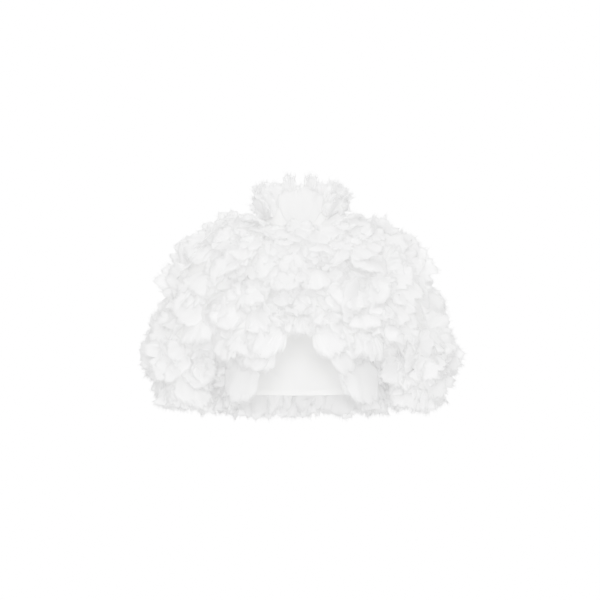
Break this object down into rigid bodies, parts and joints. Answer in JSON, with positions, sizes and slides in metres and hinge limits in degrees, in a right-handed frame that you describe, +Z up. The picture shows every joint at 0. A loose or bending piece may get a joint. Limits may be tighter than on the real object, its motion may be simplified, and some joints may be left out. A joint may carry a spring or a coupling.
{
  "type": "cropped bolero",
  "caption": "White cropped bolero with a stand collar, wide elbow sleeves and a cut-away front, hollow as worn, covered in rows of sheer cloth petals.",
  "frame": {"origin": "middle of the neck opening, level with the neck ends of the shoulders, where the wearer's neck and shoulders hold it", "axes": "+Z up, -Y towards the fronts, +X towards the wearer's left sleeve"},
  "size_m": [0.5908, 0.328, 0.4577],
  "materials": {
    "shell_cloth": "smooth matte white woven cloth",
    "petal_cloth": "sheer crisp white woven cloth with raw edges"
  },
  "bodies": {
    "root": {"back": "shell_cloth", "front_left": "shell_cloth", "front_right": "shell_cloth", "sleeve_left": "shell_cloth", "sleeve_right": "shell_cloth", "collar": "shell_cloth", "yoke_petals_1": "petal_cloth", "yoke_petals_2": "petal_cloth", "yoke_petals_3": "petal_cloth", "yoke_petals_4": "petal_cloth", "yoke_petals_5": "petal_cloth", "back_petals_1": "petal_cloth", "back_petals_2": "petal_cloth", "back_petals_hem": "petal_cloth", "sleeve_petals_left_1": "petal_cloth", "sleeve_petals_left_2": "petal_cloth", "sleeve_petals_left_hem": "petal_cloth", "sleeve_petals_right_1": "petal_cloth", "sleeve_petals_right_2": "petal_cloth", "sleeve_petals_right_hem": "petal_cloth", "front_petals_left_1": "petal_cloth", "front_petals_left_2": "petal_cloth", "front_petal_left_hem": "petal_cloth", "front_petals_right_1": "petal_cloth", "front_petals_right_2": "petal_cloth", "front_petal_right_hem": "petal_cloth", "collar_petals_lower": "petal_cloth", "collar_petals_upper_left": "petal_cloth", "collar_petals_upper_right": "petal_cloth", "collar_petal_crown_left": "petal_cloth", "collar_petal_crown_right": "petal_cloth", "collar_petal_front": "petal_cloth"}
  },
  "joints": []
}
